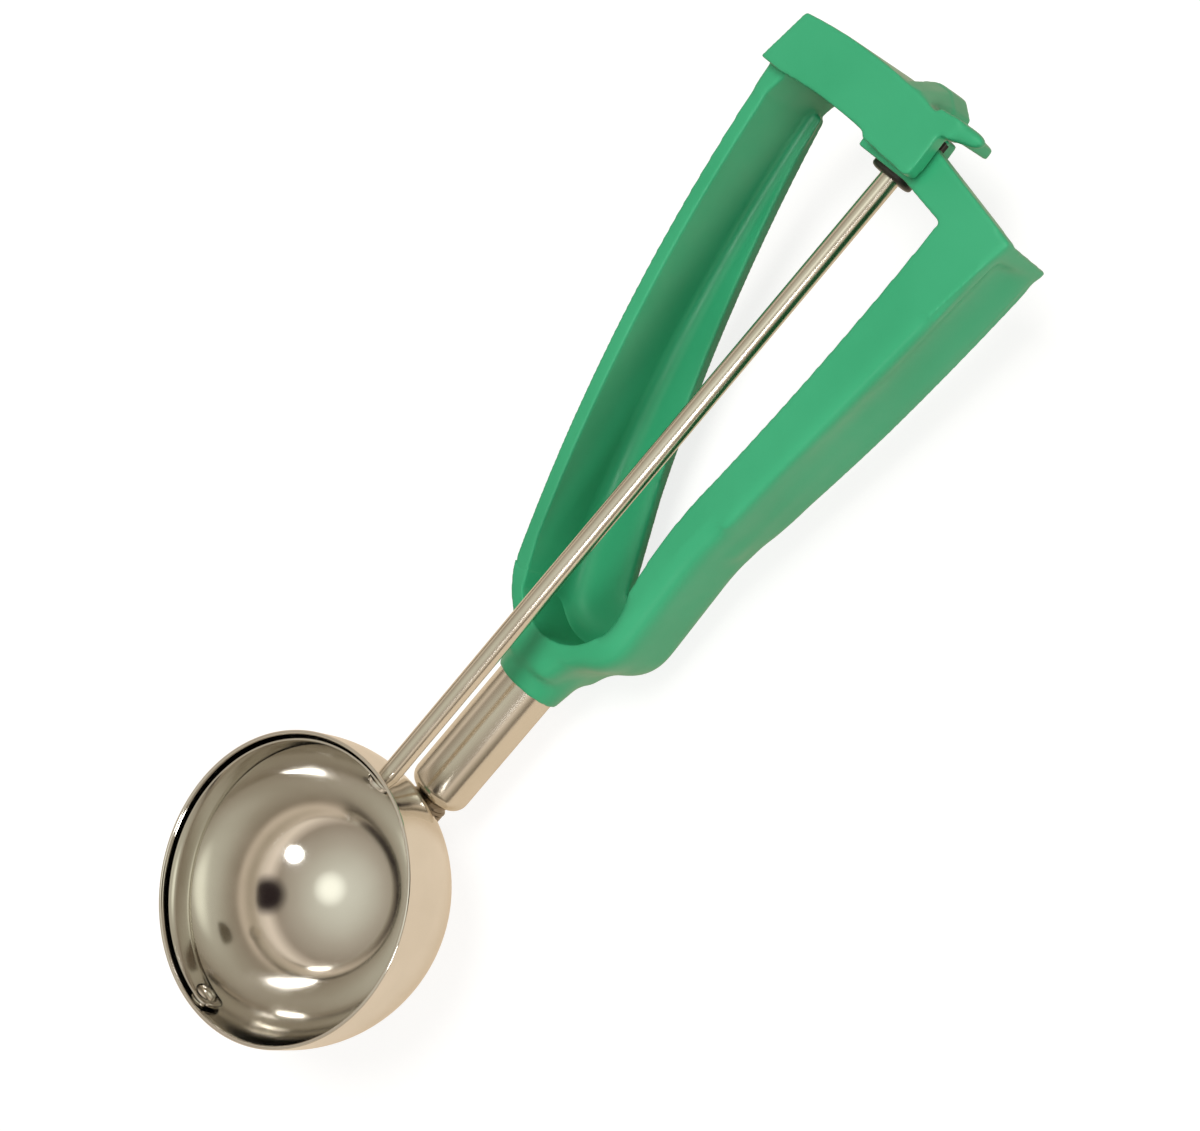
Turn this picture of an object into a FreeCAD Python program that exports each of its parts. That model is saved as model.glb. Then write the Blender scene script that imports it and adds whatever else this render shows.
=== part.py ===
import FreeCAD, Part
import math
import os

import Sketcher
from FreeCAD import Placement, Rotation, Vector

# Squeeze-handle ice cream scoop, in millimetres.
# Row frame: origin at the centre of the bowl's mouth, +Z up out of the mouth,
# +X along the drive shaft towards the handle's end, +Y towards the squeeze lever.
# Handle frame: a flat frame that leans from the neck tube up to the shaft.
# Its x runs up the handle, its y is the row's y, and its z=0 is the handle's front face.

doc = FreeCAD.newDocument("ice_cream_scoop")

SIZES = (
    ("mouth_radius", 33.2, "outer radius of the bowl at its mouth"),
    ("bowl_wall", 0.9, "sheet thickness of the bowl"),
    ("axis_depth", 5.0, "depth of the shaft axis, and of the sphere's centre, below the mouth"),
    ("shaft_radius", 2.2, "drive shaft"),
    ("shaft_proud", 0.8, "shaft above the pinion"),
    ("running_gap", 0.05, "radial clearance of a shaft in its bearing"),
    ("seat_gap", 0.02, "radial clearance of fixed pieces on their seats"),
    ("blade_gap", 0.6, "space between the blade and the bowl"),
    ("blade_thickness", 0.7, "scraper blade"),
    ("blade_width", 7.0, "scraper blade"),
    ("blade_overlap", 4.2, "reach of the blade's ends past the shaft axis"),
    ("collar_radius", 3.4, "crimped collar inside the blade"),
    ("collar_length", 1.4, "crimped collar inside the blade"),
    ("rivet_radius", 1.5, "pivot rivet's shank"),
    ("rivet_head_radius", 2.7, "pivot rivet's heads"),
    ("rivet_head_height", 0.9, "pivot rivet's heads"),
    ("washer_thickness", 0.4, "spacer between blade and bowl"),
    ("tube_radius", 6.9, "neck tube"),
    ("tube_wall", 1.0, "neck tube"),
    ("boss_length", 3.0, "neck boss, from the bowl's side to the tube"),
    ("tube_end", 73.4, "row x of the tube's end in its socket"),
    ("tube_nose_radius", 3.2, "rounding of the tube's closed end"),
    ("tube_depth", 24.3, "depth of the tube axis below the mouth"),
    ("boss_radius", 4.6, "neck boss between bowl and tube"),
    ("handle_tilt", 7.5, "lean of the handle frame, degrees"),
    ("handle_x", 72.0, "row x of the handle frame's origin"),
    ("handle_depth", 13.9, "depth of the handle frame's origin below the mouth"),
    ("handle_thickness", 21.0, "depth of the arms and the base"),
    ("base_round", 4.0, "rounding of the base's outer edges"),
    ("skin", 3.4, "wall thickness of the green mouldings"),
    ("lip_thickness", 3.2, "rear lips of the two arms"),
    ("hinge_x", 13.5, "bending line of the lever, handle frame"),
    ("hinge_y", 13.6, "bending line of the lever, handle frame"),
    ("knuckle_radius", 3.2, "rounded root of the lever about its bending line"),
    ("knuckle_gap", 0.3, "clearance round the lever's root"),
    ("trough_radius", 13.1, "round bottom of the gap between the arms"),
    ("trough_x", 16.5, "centre of the trough's rounding, handle frame"),
    ("trough_y", 0.2, "centre of the trough's rounding, handle frame"),
    ("socket_start", 62.6, "row x of the socket's mouth"),
    ("socket_wall", 0.8, "wall of the socket at its mouth"),
    ("socket_flare", 1.5, "growth of the socket's radius towards the base"),
    ("floor_thickness", 1.4, "floor of the trough"),
    ("lap_gap", 0.25, "space between the trough's floor and the lever's rear lip"),
    ("cross_depth", 10.6, "depth of the fixed cross-piece"),
    ("block_depth", 14.4, "depth of the bearing block"),
    ("back_thickness", 3.0, "back plate of the lever's cross-arm"),
    ("slide_gap", 0.3, "clearance between the lever's cross-arm and the fixed frame"),
    ("plate_thickness", 3.7, "front plate of the lever's cross-arm"),
    ("cross_rise", 6.24, "top face of the cross-arm above the middle of the pinion"),
    ("cross_height", 12.2, "cross-arm, from its lower edge to its top face"),
    ("top_wall", 2.4, "top wall of the cross-arm"),
    ("rack_width", 4.0, "rack teeth, along the shaft"),
    ("gear_module", 0.8, "pinion and rack"),
    ("gear_start", 199.2, "row x of the pinion's lower face"),
    ("gear_width", 3.2, "pinion"),
    ("backlash", 0.24, "play between pinion and rack teeth"),
    ("ring_radius", 3.1, "retaining ring"),
    ("ring_thickness", 0.6, "retaining ring"),
    ("bush_flange_radius", 4.7, "top bush"),
    ("bush_drop", 8.5, "top bush's flange, from its lower face up to the pinion"),
    ("bush_flange_thickness", 2.1, "top bush"),
    ("bush_radius", 3.3, "top bush's barrel"),
    ("bush_length", 5.8, "top bush's barrel"),
)

PINION_TEETH = 10
RACK_TEETH = 8
PRESSURE_ANGLE = 20.0


class Size:
    """A dimension: the expression that the document keeps, and its value now."""

    def __init__(self, text, value):
        self.text = text
        self.value = value

    def join(self, sign, other, value):
        return Size("(%s %s %s)" % (self.text, sign, other.text), value)

    def __add__(self, other):
        other = size(other)
        return self.join("+", other, self.value + other.value)

    def __radd__(self, other):
        return size(other) + self

    def __sub__(self, other):
        other = size(other)
        return self.join("-", other, self.value - other.value)

    def __rsub__(self, other):
        return size(other) - self

    def __mul__(self, other):
        other = size(other)
        return self.join("*", other, self.value * other.value)

    def __rmul__(self, other):
        return size(other) * self

    def __truediv__(self, other):
        other = size(other)
        return self.join("/", other, self.value / other.value)

    def __neg__(self):
        return 0 - self


def size(number):
    """A plain number as a dimension."""
    if isinstance(number, Size):
        return number
    return Size("(%s)" % repr(float(number)), float(number))


def root(a):
    return Size("sqrt(%s)" % a.text, math.sqrt(a.value))


def sine(angle):
    return Size("sin(%s)" % angle.text, math.sin(math.radians(angle.value)))


def cosine(angle):
    return Size("cos(%s)" % angle.text, math.cos(math.radians(angle.value)))


def fill_sheet():
    """The spreadsheet of driving dimensions, and each of them by name."""
    sheet = doc.addObject("Spreadsheet::Sheet", "Sizes")
    named = {}
    for row, (alias, value, note) in enumerate(SIZES, start=1):
        sheet.set("A%d" % row, alias)
        sheet.set("B%d" % row, str(value))
        sheet.set("C%d" % row, note)
        sheet.setAlias("B%d" % row, alias)
        named[alias] = Size("Sizes.%s" % alias, value)
    doc.recompute()
    return named


S = fill_sheet()

# Places worked out from the driving dimensions.
axis_z = -S["axis_depth"]
tube_z = -S["tube_depth"]
bowl_inside = S["mouth_radius"] - S["bowl_wall"]
blade_outside = bowl_inside - S["blade_gap"]
blade_inside = blade_outside - S["blade_thickness"]
shaft_start = blade_inside - S["collar_length"]
shaft_end = S["gear_start"] + S["gear_width"] + S["shaft_proud"]
bush_start = S["gear_start"] - S["bush_drop"]
pitch_radius = S["gear_module"] * PINION_TEETH / 2
tooth_pitch = S["gear_module"] * math.pi


def handle_xz(row_x, row_z):
    """Handle-frame x and z of a point of the row frame's middle plane."""
    along = row_x - S["handle_x"]
    up = row_z + S["handle_depth"]
    cos_tilt = cosine(S["handle_tilt"])
    sin_tilt = sine(S["handle_tilt"])
    return along * cos_tilt + up * sin_tilt, up * cos_tilt - along * sin_tilt


tube_start = S["boss_length"] + root(
    S["mouth_radius"] * S["mouth_radius"] - (axis_z - tube_z) * (axis_z - tube_z))

# The top of the handle is laid out from the middle of the pinion.
top_x, top_z = handle_xz(S["gear_start"] + S["gear_width"] / 2, axis_z)
mesh_radius = root(
    (top_x - S["hinge_x"]) * (top_x - S["hinge_x"]) + S["hinge_y"] * S["hinge_y"])
arc_outer = mesh_radius + S["cross_rise"]
arc_inner = arc_outer - S["cross_height"]


def bind(item, prop, dimension):
    item.setExpression(prop, dimension.text)


def make_body(label):
    body = doc.addObject("PartDesign::Body", label)
    body.Label = label
    return body


def tilt_body(body):
    """Places a body that is modelled in the handle frame."""
    body.Placement = Placement(
        Vector(S["handle_x"].value, 0, -S["handle_depth"].value),
        Rotation(Vector(0, -1, 0), S["handle_tilt"].value))
    bind(body, "Placement.Base.x", S["handle_x"])
    bind(body, "Placement.Base.z", -S["handle_depth"])
    bind(body, "Placement.Rotation.Angle", S["handle_tilt"])


def origin_plane(body, role):
    return [item for item in body.Origin.OriginFeatures if item.Role == role][0]


def add_sketch(body, name, role, offset=None):
    """A sketch on one of the body's origin planes, moved along its normal by offset."""
    sketch = body.newObject("Sketcher::SketchObject", name)
    sketch.AttachmentSupport = [(origin_plane(body, role), "")]
    sketch.MapMode = "FlatFace"
    if offset is not None:
        sketch.AttachmentOffset = Placement(Vector(0, 0, offset.value), Rotation())
        bind(sketch, "AttachmentOffset.Base.z", offset)
    return sketch


def hold(sketch, kind, geometry, dimension):
    """A dimensioned constraint, tied to the sheet."""
    index = sketch.addConstraint(Sketcher.Constraint(kind, *geometry, dimension.value))
    bind(sketch, "Constraints[%d]" % index, dimension)


def arc_between(start, end, radius, side):
    """The short arc from start to end. Side 1 puts its centre to the left, -1 to the right."""
    middle = (start + end) * 0.5
    half = (end - start).Length / 2
    height = math.sqrt(max(radius * radius - half * half, 0.0))
    left = Vector(start.y - end.y, end.x - start.x, 0).normalize()
    centre = middle + left * (side * height)
    first, last = (start, end) if side > 0 else (end, start)
    first_angle = math.atan2(first.y - centre.y, first.x - centre.x)
    last_angle = math.atan2(last.y - centre.y, last.x - centre.x)
    circle = Part.Circle(centre, Vector(0, 0, 1), radius)
    return Part.ArcOfCircle(circle, first_angle, last_angle)


def outline(sketch, vertices):
    """A closed outline. Each vertex is (x, y), or (x, y, radius, side) where an arc follows it."""
    points = [Vector(size(v[0]).value, size(v[1]).value, 0) for v in vertices]
    ends = []
    for i, vertex in enumerate(vertices):
        start, end = points[i], points[(i + 1) % len(points)]
        if len(vertex) == 4:
            radius, side = size(vertex[2]), vertex[3]
            edge = sketch.addGeometry(arc_between(start, end, radius.value, side))
            hold(sketch, "Radius", (edge,), radius)
            ends.append((edge, 1, 2) if side > 0 else (edge, 2, 1))
        else:
            edge = sketch.addGeometry(Part.LineSegment(start, end))
            ends.append((edge, 1, 2))
    for i, vertex in enumerate(vertices):
        edge, first, _ = ends[i]
        before, _, last = ends[i - 1]
        sketch.addConstraint(Sketcher.Constraint("Coincident", before, last, edge, first))
        hold(sketch, "DistanceX", (-1, 1, edge, first), size(vertex[0]))
        hold(sketch, "DistanceY", (-1, 1, edge, first), size(vertex[1]))
    return sketch


def circle(sketch, x, y, radius):
    edge = sketch.addGeometry(Part.Circle(Vector(x.value, y.value, 0), Vector(0, 0, 1), radius.value))
    hold(sketch, "Radius", (edge,), radius)
    hold(sketch, "DistanceX", (-1, 1, edge, 3), x)
    hold(sketch, "DistanceY", (-1, 1, edge, 3), y)
    return sketch


def pad(body, sketch, length):
    feature = body.newObject("PartDesign::Pad", sketch.Name + "_pad")
    feature.Profile = sketch
    feature.Length = length.value
    bind(feature, "Length", length)
    return feature


def pocket(body, sketch, depth):
    """Cuts from the sketch down, against its normal."""
    feature = body.newObject("PartDesign::Pocket", sketch.Name + "_pocket")
    feature.Profile = sketch
    feature.Length = depth.value
    bind(feature, "Length", depth)
    return feature


def revolve(body, sketch, axis, kind="PartDesign::Revolution"):
    feature = body.newObject(kind, sketch.Name + "_turned")
    feature.Profile = sketch
    feature.ReferenceAxis = (sketch, [axis])
    feature.Angle = 360.0
    return feature


def drill_along_shaft(body, name, row_x, row_z, radius, length, tilted=False, kind="Subtractive"):
    """A round hole or boss along the row's x, from row_x on, in a body of either frame."""
    feature = body.newObject("PartDesign::%sCylinder" % kind, name)
    feature.Radius = radius.value
    bind(feature, "Radius", radius)
    feature.Height = length.value
    bind(feature, "Height", length)
    x, z = handle_xz(row_x, row_z) if tilted else (row_x, row_z)
    turn = S["handle_tilt"] + 90 if tilted else size(90)
    feature.AttachmentOffset = Placement(
        Vector(x.value, 0, z.value), Rotation(Vector(0, 1, 0), turn.value))
    feature.AttachmentSupport = [(origin_plane(body, "XY_Plane"), "")]
    feature.MapMode = "FlatFace"
    bind(feature, "AttachmentOffset.Base.x", x)
    bind(feature, "AttachmentOffset.Base.z", z)
    bind(feature, "AttachmentOffset.Rotation.Angle", turn)
    return feature


def turned_piece(label, profile, height):
    """A piece turned about a line along the row's x, at the given height."""
    body = make_body(label)
    sketch = outline(add_sketch(body, label + "_profile", "XZ_Plane"), profile)
    revolve(body, sketch, "H_Axis")
    body.Placement = Placement(Vector(0, 0, height.value), Rotation())
    bind(body, "Placement.Base.z", height)
    return body


def bore_ring(label, start, length, bore, radius):
    """A plain ring about the shaft's line."""
    profile = [(start, bore), (start + length, bore), (start + length, radius), (start, radius)]
    return turned_piece(label, profile, axis_z)


# Bowl: a hemisphere with a short straight wall, pierced for the shaft and the rivet.
def make_bowl():
    body = make_body("bowl")
    out, inside = S["mouth_radius"], bowl_inside
    profile = [
        (out, 0), (inside, 0), (inside, axis_z, inside, -1), (0, axis_z - inside),
        (0, axis_z - out, out, 1), (out, axis_z)]
    revolve(body, outline(add_sketch(body, "bowl_profile", "XZ_Plane"), profile), "V_Axis")
    reach = S["bowl_wall"] * 4
    drill_along_shaft(body, "shaft_hole", inside - S["bowl_wall"], axis_z,
                      S["shaft_radius"] + S["running_gap"], reach)
    drill_along_shaft(body, "rivet_hole", -inside - S["bowl_wall"] * 3, axis_z,
                      S["rivet_radius"] + S["seat_gap"], reach)
    return body


# Neck: a boss brazed to the bowl's side, and the tube that it carries.
def make_neck_boss():
    body = make_body("neck_boss")
    start = S["mouth_radius"] * 0.7
    drill_along_shaft(body, "boss_bar", start, tube_z, S["boss_radius"],
                      tube_start - start, kind="Additive")
    ball = body.newObject("PartDesign::SubtractiveSphere", "bowl_seat")
    ball.Radius = S["mouth_radius"].value + S["seat_gap"].value
    bind(ball, "Radius", S["mouth_radius"] + S["seat_gap"])
    ball.AttachmentSupport = [(origin_plane(body, "XY_Plane"), "")]
    ball.MapMode = "FlatFace"
    bind(ball, "AttachmentOffset.Base.z", axis_z)
    return body


def make_neck_tube():
    start, end, out = tube_start, S["tube_end"], S["tube_radius"]
    wall, nose = S["tube_wall"], S["tube_nose_radius"]
    inner_nose = nose - wall
    profile = [
        (start, 0), (start, out - nose, nose, -1), (start + nose, out), (end, out),
        (end, out - wall), (start + nose, out - wall, inner_nose, 1), (start + wall, out - nose),
        (start + wall, 0)]
    return turned_piece("neck_tube", list(reversed_profile(profile)), tube_z)


def reversed_profile(profile):
    """The same outline walked the other way round."""
    count = len(profile)
    for i in range(count, 0, -1):
        vertex, before = profile[i % count], profile[i - 1]
        if len(before) == 4:
            yield (vertex[0], vertex[1], before[2], -before[3])
        else:
            yield (vertex[0], vertex[1])


# Scraper: shaft, blade and collar turn together about the shaft's line.
def make_drive_shaft():
    radius, end, bevel = S["shaft_radius"], shaft_end, 0.4
    profile = [
        (shaft_start, 0), (end, 0), (end, radius - bevel), (end - bevel, radius),
        (shaft_start + bevel, radius), (shaft_start, radius - bevel)]
    return turned_piece("drive_shaft", profile, axis_z)


def make_scraper_blade():
    body = make_body("scraper_blade")
    half = S["blade_width"] / 2
    sketch = add_sketch(body, "blade_plan", "XY_Plane", axis_z - half)
    over = S["blade_overlap"]
    out_x = root(blade_outside * blade_outside - over * over)
    in_x = root(blade_inside * blade_inside - over * over)
    # The band is drawn in two halves, each under a half circle.
    outline(sketch, [
        (in_x, -over), (out_x, -over, blade_outside, 1), (0, blade_outside, blade_outside, 1),
        (-out_x, -over), (-in_x, -over, blade_inside, -1), (0, blade_inside, blade_inside, -1)])
    pad(body, sketch, S["blade_width"])
    reach = S["blade_thickness"] * 4
    drill_along_shaft(body, "blade_shaft_hole", blade_inside - S["blade_thickness"], axis_z,
                      S["shaft_radius"] + S["seat_gap"], reach)
    drill_along_shaft(body, "blade_rivet_hole", -blade_outside - S["blade_thickness"], axis_z,
                      S["rivet_radius"] + S["running_gap"], reach)
    round_corners(body, "blade_ends", S["blade_overlap"] * 0.7, is_blade_corner)
    return body


def is_blade_corner(edge):
    """The blade's four short corner edges, which point through its sheet."""
    box = edge.BoundBox
    at_end = abs(box.YMax + S["blade_overlap"].value) < 0.01
    return at_end and box.ZLength < 0.01 and box.XLength < S["blade_thickness"].value * 1.5


def make_blade_collar():
    return bore_ring("blade_collar", shaft_start, S["collar_length"] - 0.25,
                     S["shaft_radius"] + S["seat_gap"], S["collar_radius"])


def make_pivot_rivet():
    """The rivet through the bowl and the blade, with a low domed head at each end."""
    shank, head, height = S["rivet_radius"], S["rivet_head_radius"], S["rivet_head_height"]
    inner = blade_inside - 0.15
    outer = S["mouth_radius"]
    rise = head * 0.45
    profile = [
        (-inner + height, 0), (-inner + height, rise), (-inner, head), (-inner, shank),
        (-outer, shank), (-outer, head), (-outer - height, rise), (-outer - height, 0)]
    return turned_piece("pivot_rivet", profile, axis_z)


def make_pivot_washer():
    end = -blade_outside - 0.05
    return bore_ring("pivot_washer", end - S["washer_thickness"], S["washer_thickness"],
                     S["rivet_radius"] + S["seat_gap"], S["rivet_head_radius"])


def round_corners(body, name, radius, wanted):
    """Rounds the edges of the body's latest shape that the given test picks."""
    doc.recompute()
    base = body.Tip
    names = ["Edge%d" % (i + 1) for i, edge in enumerate(base.Shape.Edges) if wanted(edge)]
    if not names:
        raise RuntimeError("no edges found for " + name)
    fillet = body.newObject("PartDesign::Fillet", name)
    fillet.Base = (base, names)
    fillet.Radius = size(radius).value
    bind(fillet, "Radius", size(radius))
    return fillet


# Handle frame: socket, base, fixed arm and cross-piece, with the bearing block for the shaft.
ARM_TOP = (top_x - 7.0, -32.4)
ARM_WAIST = (46.5, -21.2)
ARM_INNER_TOP = (top_x - 10.2, -18.2)
CROSS_OUTER_END = (top_x + 0.2, -7.8)
BLOCK_LOW_X, BLOCK_TOP_X, BLOCK_HALF = top_x - 8.2, top_x - 3.9, 6.4


def is_base_edge(edge):
    """The upper and lower edges round the outside of the base, short of the arm."""
    box = edge.BoundBox
    flat = box.ZLength < 0.01
    outside = edge.CenterOfMass.y < -14.5 or edge.CenterOfMass.y > 11.5
    return flat and outside and box.XMin > 3.5 and box.XMax < 47.0 and box.XLength > 6.0


def make_handle_frame():
    body = make_body("handle_frame")
    hx, hy = S["hinge_x"], S["hinge_y"]
    seam = S["knuckle_radius"] + S["knuckle_gap"]
    tr, tx, ty = S["trough_radius"], S["trough_x"], S["trough_y"]
    deep, lip = S["handle_thickness"], S["lip_thickness"]

    # Base and arm, as deep as the handle. The arm's outer side is coved between two lips.
    base = [
        (-4.5, 8.0), (-4.5, -8.0, 14, -1), (4.0, -13.6, 11, 1), (13.5, -19.0), (34.0, -19.3, 60, -1),
        ARM_WAIST, (top_x - 8.1, -30.2), (*ARM_INNER_TOP, 750, -1), (53.0, -12.5, 103, 1), (29.0, -11.3),
        (tx + tr * 0.342, ty - tr * 0.940, tr, -1), (tx - tr * 0.711, ty + tr * 0.703),
        (hx - seam * 0.701, hy - seam * 0.713, seam, -1), (hx - seam * 0.837, hy + seam * 0.547, 21, 1),
        (2.7, 9.1, 9.5, -1)]
    pad(body, outline(add_sketch(body, "frame_plan", "XY_Plane", -deep), base), deep)
    round_corners(body, "base_rounding", S["base_round"], is_base_edge)
    front_lip = [(46.5, -19.5), (*ARM_WAIST, 560, -1), ARM_TOP, (top_x - 12.9, -24.0)]
    pad(body, outline(add_sketch(body, "front_lip", "XY_Plane", -lip), front_lip), lip)
    rear_lip = [(46.5, -19.0), (46.5, -20.4, 700, 1), (top_x - 7.6, -31.8), (top_x - 8.7, -26.6),
        (top_x - 12.9, -24.0)]
    pad(body, outline(add_sketch(body, "rear_lip", "XY_Plane", -deep), rear_lip), lip)

    # Cross-piece: a front plate, a rib set back behind it, and a rib that closes the cove's end.
    plate = [
        (top_x - 15.9, -18.6), (top_x - 15.9, -27.0), ARM_TOP, (top_x - 5.3, -33.0), CROSS_OUTER_END,
        (BLOCK_TOP_X, -BLOCK_HALF), (BLOCK_TOP_X, BLOCK_HALF), (BLOCK_LOW_X, BLOCK_HALF),
        (BLOCK_LOW_X, -BLOCK_HALF), ARM_INNER_TOP]
    pad(body, outline(add_sketch(body, "cross_plate", "XY_Plane", -S["skin"]), plate), S["skin"])
    rib = [
        (top_x - 15.9, -18.6), (top_x - 15.9, -27.0), (top_x - 8.4, -30.4), (BLOCK_TOP_X - 0.1, -BLOCK_HALF),
        (BLOCK_LOW_X, -BLOCK_HALF), ARM_INNER_TOP]
    pad(body, outline(add_sketch(body, "cross_rib", "XY_Plane", -S["cross_depth"]), rib),
        S["cross_depth"])
    end_rib = [
        (top_x - 9.6, -29.0), (top_x - 9.0, -31.5), (top_x - 6.9, -32.5), (top_x - 6.5, -31.2),
        (top_x - 8.2, -29.4)]
    pad(body, outline(add_sketch(body, "end_rib", "XY_Plane", -deep), end_rib), deep)

    # Bearing block for the shaft.
    block = [
        (BLOCK_LOW_X, -BLOCK_HALF), (BLOCK_TOP_X, -BLOCK_HALF),
        (BLOCK_TOP_X, BLOCK_HALF), (BLOCK_LOW_X, BLOCK_HALF)]
    pad(body, outline(add_sketch(body, "block_plan", "XY_Plane", -S["block_depth"]), block),
        S["block_depth"])

    # Floor of the trough, which runs on behind the lever's rear lip.
    floor = [
        (1.0, -9.0), (13.0, -13.6), (20.0, -13.4), (17.5, -4.0), (17.3, 8.0), (10.5, 10.2), (1.0, 9.0)]
    pad(body, outline(add_sketch(body, "trough_floor", "XY_Plane", -deep), floor),
        S["floor_thickness"])

    # The arm is a channel, open towards the lever.
    wall = S["skin"]
    channel = [
        (38.0, -16.6), (48.0, -17.8), (top_x - 13.9, -25.6), (top_x - 13.9, -12.0), (60.0, -8.0), (38.0, -8.0)]
    pocket(body, outline(add_sketch(body, "arm_channel", "XY_Plane", -wall), channel),
           deep - wall * 2)

    # Socket round the tube.
    socket = body.newObject("PartDesign::AdditiveCone", "socket")
    mouth = S["tube_radius"] + S["socket_wall"]
    length = S["handle_x"] - S["socket_start"]
    x, z = handle_xz(S["socket_start"], tube_z)
    turn = S["handle_tilt"] + 90
    socket.AttachmentOffset = Placement(
        Vector(x.value, 0, z.value), Rotation(Vector(0, 1, 0), turn.value))
    socket.AttachmentSupport = [(origin_plane(body, "XY_Plane"), "")]
    socket.MapMode = "FlatFace"
    for prop, dimension in (
            ("Radius1", mouth), ("Radius2", mouth + S["socket_flare"]), ("Height", length),
            ("AttachmentOffset.Base.x", x), ("AttachmentOffset.Base.z", z),
            ("AttachmentOffset.Rotation.Angle", turn)):
        bind(socket, prop, dimension)
    drill_along_shaft(body, "socket_bore", S["socket_start"] - 1, tube_z,
                      S["tube_radius"] + S["seat_gap"], S["tube_end"] - S["socket_start"] + 1.1, True)

    # Seat and bore of the top bush.
    flange_end = bush_start + S["bush_flange_thickness"]
    drill_along_shaft(body, "bush_bore", flange_end - 3, axis_z,
                      S["bush_radius"] + S["seat_gap"], S["bush_length"] + 8, True)
    drill_along_shaft(body, "bush_seat", flange_end - 6, axis_z,
                      S["bush_flange_radius"] + 0.3, size(6.02), True)
    tilt_body(body)
    return body


# Squeeze lever: the arm and the cross-arm that carries the rack.
PLATE_RIGHT_Y, PLATE_LEFT_Y, BACK_RIGHT_Y = -6.9, 31.5, 5.0
PLATE_CORNER = (top_x - 6.1, 34.5)


def about_hinge(radius, y):
    """Handle-frame x of the point at this y on a circle about the bending line."""
    rise = size(y) - S["hinge_y"]
    return S["hinge_x"] + root(radius * radius - rise * rise)


def make_squeeze_lever():
    body = make_body("squeeze_lever")
    hx, hy, knuckle = S["hinge_x"], S["hinge_y"], S["knuckle_radius"]
    deep, lip, skin = S["handle_thickness"], S["lip_thickness"], S["skin"]
    tip_x, tip_y = top_x - 9.9, 34.4
    bow = 390.0

    # Arm: a bowed web with a rear lip that is wide at the root and narrow at the top.
    web = [
        (hx - knuckle * 0.701, hy - knuckle * 0.713), (hx + 4.0, hy + 3.8 - skin, bow, -1),
        (tip_x, tip_y - skin), (tip_x, tip_y, bow, 1),
        (hx - knuckle * 0.837, hy + knuckle * 0.547, knuckle, 1)]
    pad(body, outline(add_sketch(body, "arm_web", "XY_Plane", -deep), web), deep)
    rear = [
        (15.4, -1.8), (36.2, 7.4, 406, -1), (tip_x - 0.2, 29.5), (tip_x, tip_y - skin / 2), (66.0, 27.4),
        (hx + 3.0, hy + 2.2), (hx + 0.7, hy - 1.4)]
    pad(body, outline(add_sketch(body, "arm_rear_lip", "XY_Plane", -deep), rear), lip)
    lap = [(8.0, -5.0), (19.6, -5.0), (19.6, 8.0), (17.5, 10.3), (8.0, 10.3)]
    cut_top = S["floor_thickness"] + S["lap_gap"] - deep
    pocket(body, outline(add_sketch(body, "lap_cut", "XY_Plane", cut_top), lap),
           S["floor_thickness"] + S["lap_gap"])

    # Cross-arm: front plate, top wall, back plate and the wall at its left end.
    right, left, back_right = PLATE_RIGHT_Y, PLATE_LEFT_Y, BACK_RIGHT_Y
    low, high, gap = arc_inner, arc_outer, S["slide_gap"]
    plate = [
        (about_hinge(low, 4.8), 4.8), (top_x - 6.5, 4.1), (top_x - 7.2, -8.1), (top_x - 6.2, -9.2),
        (about_hinge(high, right), right, high, 1), (about_hinge(high, left), left),
        PLATE_CORNER, (about_hinge(low, 28.5), 28.5, low, -1)]
    pad(body, outline(add_sketch(body, "front_plate", "XY_Plane", gap), plate),
        S["plate_thickness"])
    under_top = high - S["top_wall"]
    top = [
        (about_hinge(under_top, right), right), (about_hinge(high, right), right, high, 1),
        (about_hinge(high, left), left), (about_hinge(under_top, left), left, under_top, -1)]
    pad(body, outline(add_sketch(body, "top_wall", "XY_Plane", -deep), top), deep + gap)
    back = [
        (about_hinge(low, back_right), back_right),
        (about_hinge(high, back_right), back_right, high, 1),
        (about_hinge(high, left), left), (about_hinge(low, left), left, low, -1)]
    pad(body, outline(add_sketch(body, "back_plate", "XY_Plane", -deep), back), S["back_thickness"])
    side = [
        (tip_x - 3.0, 31.4), (tip_x + 3.0, 29.6), (about_hinge(high, 28.0) - 0.3, 28.0),
        (about_hinge(high, left), left), PLATE_CORNER, (tip_x - 0.4, 34.4), (tip_x - 3.0, 33.6)]
    pad(body, outline(add_sketch(body, "left_wall", "XY_Plane", -deep), side), deep + gap)

    # Hooked end beyond the plate, and the raised place over the shaft's end.
    prong = [
        (top_x - 5.0, -6.0), (top_x - 5.0, -9.25), (top_x + 2.4, -9.4), (top_x + 3.9, -16.4),
        (top_x + 5.3, -18.0, 1.5, 1), (top_x + 7.1, -16.6), (top_x + 7.2, -13.6), (top_x + 6.4, -6.0)]
    pad(body, outline(add_sketch(body, "prong", "XY_Plane", gap), prong), S["plate_thickness"])
    crest = [
        (top_x + 5.1, 7.4), (top_x + 5.1, -3.6), (top_x + 7.4, -3.4), (top_x + 9.9, 0.0),
        (top_x + 9.9, 3.2), (top_x + 8.5, 6.6)]
    pad(body, outline(add_sketch(body, "crest", "XY_Plane", size(-13.0)), crest), size(7.0))

    add_rack(body)
    tilt_body(body)
    return body


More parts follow.
